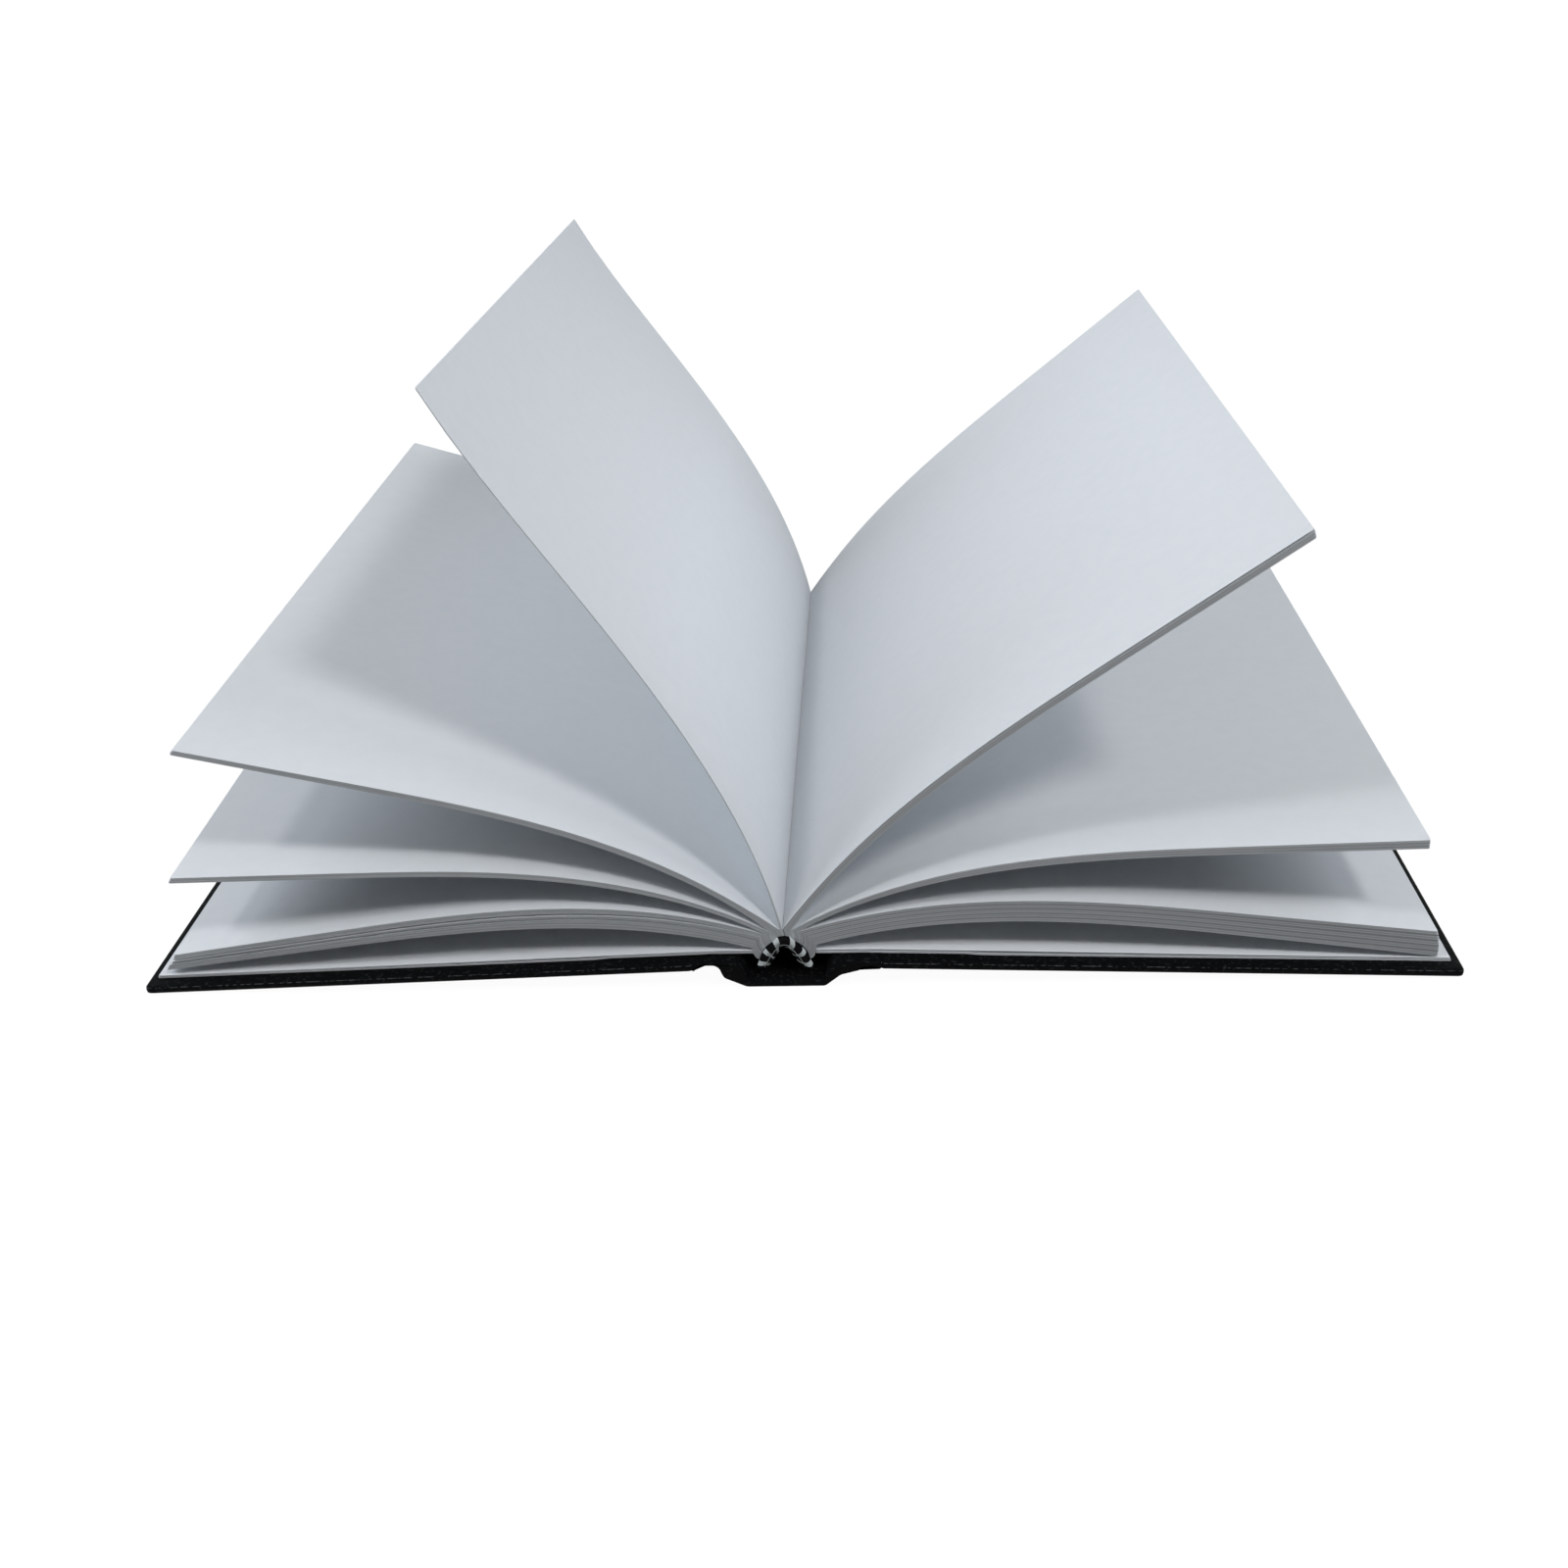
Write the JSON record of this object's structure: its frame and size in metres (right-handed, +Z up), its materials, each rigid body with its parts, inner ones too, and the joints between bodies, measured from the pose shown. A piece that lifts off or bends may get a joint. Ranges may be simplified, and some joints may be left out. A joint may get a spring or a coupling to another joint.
{
  "type": "blank journal",
  "caption": "Blank A5 journal case bound in black cloth, lying open on its spine with its leaves fanned out in bundles. Both covers fold back at the joints.",
  "frame": {"origin": "on the table, under the middle of the open book's box", "axes": "+X to the right across the open book, from front cover to back cover, +Y along the spine from tail to head, +Z up"},
  "size_m": [0.312, 0.217, 0.1438],
  "materials": {
    "paper": "matte",
    "endpaper": "matte",
    "cover_cloth": "fine cloth grain",
    "board": "matte",
    "lining_paper": "matte",
    "gauze": "open weave",
    "headband": "black and white stripes"
  },
  "bodies": {
    "root": {"text_block": "paper", "tail_headband": "headband", "head_headband": "headband", "spine_mull": "gauze", "back_lining": "lining_paper", "spine_strip": "board", "spine_cloth": "cover_cloth", "front_flyleaf": "endpaper", "back_flyleaf": "endpaper"},
    "front_cover": {"front_board": "board", "front_cover_cloth": "cover_cloth", "front_pastedown": "endpaper", "front_mull_flap": "gauze"},
    "back_cover": {"back_board": "board", "back_cover_cloth": "cover_cloth", "back_pastedown": "endpaper", "back_mull_flap": "gauze"}
  },
  "joints": [
    {"name": "front_cover_hinge", "type": "hinge", "parent": "root", "child": "front_cover", "pos_m": [-0.01855, 0, 0.00644], "axis": [0, -1, 0], "range_deg": [0, 90]},
    {"name": "back_cover_hinge", "type": "hinge", "parent": "root", "child": "back_cover", "pos_m": [0.0195, 0, 0.0053], "axis": [0, 1, 0], "range_deg": [0, 90]}
  ]
}
